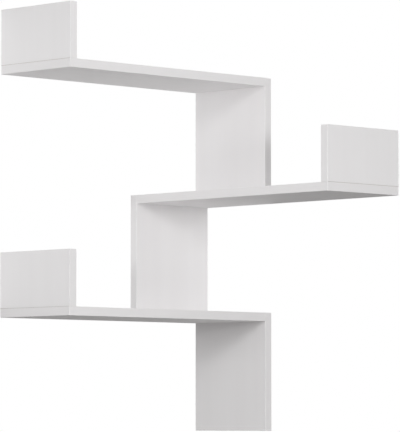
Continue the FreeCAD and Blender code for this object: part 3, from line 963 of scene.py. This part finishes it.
@dataclass
class ShelfScrews:
    """The screws that pull a shelf's end to a wall panel: flat head, hexagon socket, coarse thread."""

    plating: PlatedSteel = PlatedSteel()
    head: float = 0.0050
    rim: float = 0.0003
    shank: float = 0.0035
    thread: Thread = Thread(start=0.0190, end=0.0465, pitch=0.0030, core=0.0025, height=0.0010)
    tip: float = 0.00125
    length: float = 0.0500
    socket: Recess = Recess(Recess.Form.HEXAGON, width=0.0040, depth=0.0026)
    sides: int = 40

    def build(self) -> list[str]:
        """Makes the two screws of each shelf.

        Returns:
            The names of the new pieces.
        """
        plating = self.plating.paint()
        made = []
        for node in nodes_ending("_shelf_screws"):
            name = node.replace("_shelf_screws", "_shelf_threaded_screws")
            set_in_place(name, self.draw(), Seat.pair(node, joint_direction(node)), plating)
            stand_for(name, node)
            made.append(name)
        return made

    def draw(self) -> Shape:
        """Draws one screw, from its head to its tip.

        Returns:
            The screw's shape.
        """
        outline = [(self.head, 0.0), (self.head, self.rim), (self.shank, self.head - self.shank),
                   (self.shank, self.thread.start - self.rim), *self.thread.rows(),
                   (self.tip, self.length), (0.0, self.length)]
        shape = turned(outline, self.sides)
        self.thread.cut(shape)
        self.socket.sink(shape, 0.0, inward=1.0)
        return shape


@dataclass
class Hangers:
    """The keyhole plates in the backs of the panels, and the small screws that hold them."""

    sheet: GalvanisedSheet = GalvanisedSheet()
    plating: PlatedSteel = PlatedSteel()
    screw_inset: float = 0.005
    head: float = 0.0030
    shank: float = 0.0012
    thread: Thread = Thread(start=0.0020, end=0.0135, pitch=0.0012, core=0.0010, height=0.0005,
                            rows_per_pitch=10)
    tip: float = 0.0002
    length: float = 0.016
    slot: Recess = Recess(Recess.Form.CROSS, width=0.0032, depth=0.0009, arm=0.0008)
    sides: int = 24

    def build(self) -> list[str]:
        """Dresses the plates and makes their screws.

        Returns:
            The names of the pieces.
        """
        sheet = self.sheet.paint()
        plates = nodes_ending("_hanger")
        for plate in plates:
            wear(plate, sheet)
        name = "threaded_hanger_screws"
        seats = [seat for plate in plates for seat in self.seats(plate)]
        set_in_place(name, self.draw(), seats, self.plating.paint())
        stand_for(name, "hanger_screws")
        return [*plates, name]

    def seats(self, plate: str) -> list[Seat]:
        """Finds the seats of a plate's two screws, near its top and its foot.

        Args:
            plate: the plate's name.

        Returns:
            The two seats, at the plate's outer face.
        """
        out = wallward(plate)
        low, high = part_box(plate)
        size = high - low
        face = (low + high) / 2 + out * abs(size.dot(out)) / 2
        reach = size.z / 2 - self.screw_inset
        up = Axis.Z.direction
        return [Seat(face + up * side * reach, -out, up) for side in (-1, 1)]

    def draw(self) -> Shape:
        """Draws one screw, from its head to its tip.

        Returns:
            The screw's shape.
        """
        outline = [(self.head, 0.0), (self.shank, self.head - self.shank), *self.thread.rows(),
                   (self.tip, self.length), (0.0, self.length)]
        shape = turned(outline, self.sides)
        self.thread.cut(shape)
        self.slot.sink(shape, 0.0, inward=1.0)
        return shape


@dataclass(frozen=True)
class PhotoCamera:
    """The camera at the photograph's viewing angle."""

    place: tuple[float, float, float] = (5.3383, -5.2242, 0.0202)
    turn: float = math.radians(45.648)
    tilt: float = math.radians(3.5525)
    focal_pixels: float = 3311.6
    long_side_pixels: int = 432
    sensor: float = 36.0

    def set_up(self) -> None:
        """Makes the camera and gives it to the scene."""
        lens = bpy.data.cameras.new("photo_camera")
        lens.sensor_width = self.sensor
        lens.lens = self.sensor * self.focal_pixels / self.long_side_pixels
        camera = bpy.data.objects.new("photo_camera", lens)
        camera.location = self.place
        camera.rotation_euler = (math.pi / 2 + self.tilt, 0.0, self.turn)
        bpy.context.scene.collection.objects.link(camera)
        bpy.context.scene.camera = camera


@dataclass(frozen=True)
class Softbox:
    """A flat soft light turned to the shelf.

    Its turn goes round the shelf from -Y to +X and its rise goes up from the level, in degrees.
    """

    turn: float
    rise: float
    distance: float
    width: float
    height: float
    glow: float

    def hang(self, name: str, aim: Vector) -> None:
        """Hangs the light.

        Args:
            name: what it is called.
            aim: the point that it faces.
        """
        turn, rise = math.radians(self.turn), math.radians(self.rise)
        level = math.cos(rise)
        way = Vector((math.sin(turn) * level, -math.cos(turn) * level, math.sin(rise)))
        hang_light(name, aim + way * self.distance, way, self.width, self.height, self.glow)


@dataclass(frozen=True)
class WallGlow:
    """The soft light that a white wall would throw back, from a panel flush with that wall."""

    wall: Axis
    foot: float
    top: float
    reach: float
    glow: float

    def hang(self, name: str) -> None:
        """Hangs the panel in the wall's plane, from the corner outwards.

        Args:
            name: what it is called.
        """
        along = -(Axis.Y if self.wall is Axis.X else Axis.X).to_wall
        middle = along * self.reach / 2 + Axis.Z.direction * (self.foot + self.top) / 2
        hang_light(name, middle, self.wall.to_wall, self.reach, self.top - self.foot, self.glow)


@dataclass
class Studio:
    """A plain pale floor under the shelf and soft light round it."""

    hang_height: float = 1.0
    floor_radius: float = 25.0
    floor_sides: int = 96
    floor_tone: Colour = (0.52, 0.515, 0.51)
    floor_shade: Colour = (0.49, 0.485, 0.48)
    floor_clouds: Spots = Spots(1.5, detail=4.0)
    floor_roughness: float = 0.85
    floor_lift: float = 0.31
    floor_fade: Span = (5.0, 18.0)
    sky: float = 0.38

    BOXES: ClassVar[dict[str, Softbox]] = {
        "key": Softbox(turn=42.0, rise=16.5, distance=7.4, width=1.4, height=1.4, glow=9.4),
        "soft_key": Softbox(turn=38.0, rise=12.0, distance=2.6, width=1.3, height=1.3, glow=2.12),
        "right_strip": Softbox(turn=82.0, rise=2.0, distance=4.0, width=2.0, height=0.5, glow=14.4),
        "left_strip": Softbox(turn=5.0, rise=2.0, distance=4.0, width=2.0, height=0.5, glow=8.05),
        "overhead": Softbox(turn=45.0, rise=90.0, distance=1.15, width=0.9, height=0.9, glow=1.0),
        "back_fill": Softbox(turn=225.0, rise=15.0, distance=3.0, width=1.6, height=1.2, glow=3.0),
    }
    GLOWS: ClassVar[dict[str, WallGlow]] = {
        "left_wall_glow": WallGlow(Axis.X, foot=0.262, top=0.498, reach=1.2, glow=0.229),
        "upper_left_wall_glow": WallGlow(Axis.X, foot=0.522, top=0.9, reach=1.2, glow=0.278),
        "right_wall_glow": WallGlow(Axis.Y, foot=0.262, top=0.498, reach=0.22, glow=0.227),
    }

    def lay_floor(self) -> None:
        """Lays the floor well below the shelf, as far down as such a shelf hangs."""
        mesh = bpy.data.meshes.new("studio_floor")
        shape = bmesh.new()
        below = Matrix.Translation((0.0, 0.0, -self.hang_height))
        bmesh.ops.create_circle(shape, cap_ends=True, segments=self.floor_sides,
                                radius=self.floor_radius, matrix=below)
        shape.to_mesh(mesh)
        shape.free()
        mesh.materials.append(self.paint_floor())
        floor = bpy.data.objects.new("studio_floor", mesh)
        bpy.context.scene.collection.objects.link(floor)

    def paint_floor(self) -> Material:
        """Makes a floor that fades to white far away and is clear from below.

        Returns:
            The floor's material.
        """
        graph = Graph("studio_floor")
        place = graph.spot()
        clouds = graph.cloud(place, self.floor_clouds)
        seen = graph.add("LightPath", {}).outputs["Is Camera Ray"]
        away = graph.add("VectorMath", {0: place}, operation="LENGTH").outputs["Value"]
        lift = graph.remap(away, self.floor_fade, (self.floor_lift, 1.0))
        underside = graph.add("NewGeometry", {}).outputs["Backfacing"]
        graph.shade({"Base Color": graph.mix(clouds, self.floor_tone, self.floor_shade),
                     "Roughness": self.floor_roughness,
                     "Emission Color": WHITE,
                     "Emission Strength": graph.math("MULTIPLY", seen, lift),
                     "Alpha": graph.math("SUBTRACT", 1.0, underside)})
        return graph.material

    def light_room(self) -> None:
        """Fills the room with even light, puts white behind the shelf and hangs the lights."""
        world = bpy.data.worlds.new("studio")
        world.use_nodes = True
        bpy.context.scene.world = world
        nodes, links = world.node_tree.nodes, world.node_tree.links
        soft, white = nodes["Background"], nodes.new("ShaderNodeBackground")
        for backdrop, strength in ((soft, self.sky), (white, 1.0)):
            backdrop.inputs["Color"].default_value = (*WHITE, 1.0)
            backdrop.inputs["Strength"].default_value = strength
        seen = nodes.new("ShaderNodeLightPath")
        either = nodes.new("ShaderNodeMixShader")
        links.new(seen.outputs["Is Camera Ray"], either.inputs["Fac"])
        links.new(soft.outputs["Background"], either.inputs[1])
        links.new(white.outputs["Background"], either.inputs[2])
        links.new(either.outputs["Shader"], nodes["World Output"].inputs["Surface"])
        bpy.context.scene.view_settings.view_transform = "Standard"
        middle = (CAD_BOX[0] + CAD_BOX[1]) / 2
        for name, box in self.BOXES.items():
            box.hang(name, middle)
        for name, panel in self.GLOWS.items():
            panel.hang(name)


def nodes_ending(words: str) -> list[str]:
    """Returns the names of the frame's nodes that end in these words."""
    return [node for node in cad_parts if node.endswith(words)]


def wallward(node: str) -> Vector:
    """Returns the way a flat node faces: along its thinnest side, to the wall that it meets."""
    return Axis.of(Lie.of(node).thickness).to_wall


def joint_direction(node: str) -> Vector:
    """Finds the way the fittings of a board joint point.

    Args:
        node: the fittings' name, which starts with the name of their board.

    Returns:
        Up out of a shelf for a panel's fittings, and away from the wall for a shelf's.
    """
    board = node.rpartition("_")[0]
    if board.endswith("_shelf"):
        return -Carcass.GRAINS[board].to_wall
    return Axis.Z.direction


def faces_of(verts: list[bmesh.types.BMVert]) -> list[bmesh.types.BMFace]:
    """Returns the faces that meet at some points, each of them once."""
    return list(dict.fromkeys(face for vert in verts for face in vert.link_faces))


def turned(outline: Outline, sides: int, onto: Shape | None = None) -> Shape:
    """Turns an outline round the Z axis.

    Args:
        outline: the radius and height of each point.
        sides: how many sides the turned body has round the axis.
        onto: the shape that gets it, or None for a new one.

    Returns:
        The shape with the turned body.
    """
    shape = bmesh.new() if onto is None else onto
    points = [shape.verts.new((radius, 0.0, height)) for radius, height in outline]
    lines = [shape.edges.new(ends) for ends in zip(points, points[1:])]
    bmesh.ops.spin(shape, geom=points + lines, cent=ORIGIN, axis=UP, angle=math.tau, steps=sides,
                   use_merge=True)
    bmesh.ops.remove_doubles(shape, verts=shape.verts, dist=WELD)
    return shape


def set_in_place(name: str, shape: Shape, seats: list[Seat], material: Material) -> None:
    """Makes a piece of one fitting set at each of its seats.

    Args:
        name: what the piece is called.
        shape: the fitting as drawn, which is used up.
        seats: where its copies go.
        material: the piece's finish.
    """
    bmesh.ops.recalc_face_normals(shape, faces=shape.faces)
    mesh = bpy.data.meshes.new(name)
    shape.to_mesh(mesh)
    shape.clear()
    for seat in seats:
        placed = len(shape.verts)
        shape.from_mesh(mesh)
        shape.verts.ensure_lookup_table()
        bmesh.ops.transform(shape, matrix=seat.matrix, verts=shape.verts[placed:])
    shape.to_mesh(mesh)
    shape.free()
    mesh.shade_smooth()
    mesh.set_sharp_from_angle(angle=SHARP)
    mesh.materials.append(material)
    bpy.context.scene.collection.objects.link(bpy.data.objects.new(name, mesh))


def stand_for(name: str, node: str) -> None:
    """Lets a new piece ride on the shelf in place of one of the frame's nodes.

    Args:
        name: the piece's name.
        node: the node that it stands for.
    """
    piece = bpy.data.objects[name]
    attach(piece, BODY)
    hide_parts(node)


def wear(node: str, *materials: Material) -> None:
    """Puts materials in a node's slots, in place of the plain one that it came with.

    Args:
        node: the node's name.
        materials: its new materials, the first one for most of it.
    """
    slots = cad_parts[node].data.materials
    slots.clear()
    for material in materials:
        slots.append(material)


def hang_light(name: str, place: Vector, behind: Vector, width: float, height: float,
               glow: float) -> None:
    """Hangs a rectangular light that the camera does not see.

    Args:
        name: what the light is called.
        place: its middle.
        behind: the way out of its back.
        width: its level side.
        height: its other side.
        glow: how bright its face is.
    """
    lamp = bpy.data.lights.new(name, "AREA")
    lamp.shape = "RECTANGLE"
    lamp.size = width
    lamp.size_y = height
    lamp.energy = glow * math.pi * width * height
    light = bpy.data.objects.new(name, lamp)
    light.location = place
    light.rotation_euler = behind.to_track_quat("Z", "Y").to_euler()
    light.visible_camera = False
    bpy.context.scene.collection.objects.link(light)


def main() -> None:
    """Dresses the shelf part by part, then sets up its studio."""
    logging.basicConfig(level=logging.INFO, format="%(name)s: %(message)s")
    for part in (Carcass(), Dowels(), CamFittings(), ShelfScrews(), Hangers()):
        for piece in part.build():
            log.info("made %s", piece)
    studio = Studio()
    studio.lay_floor()
    studio.light_room()
    PhotoCamera().set_up()


if __name__ == "__main__":
    main()
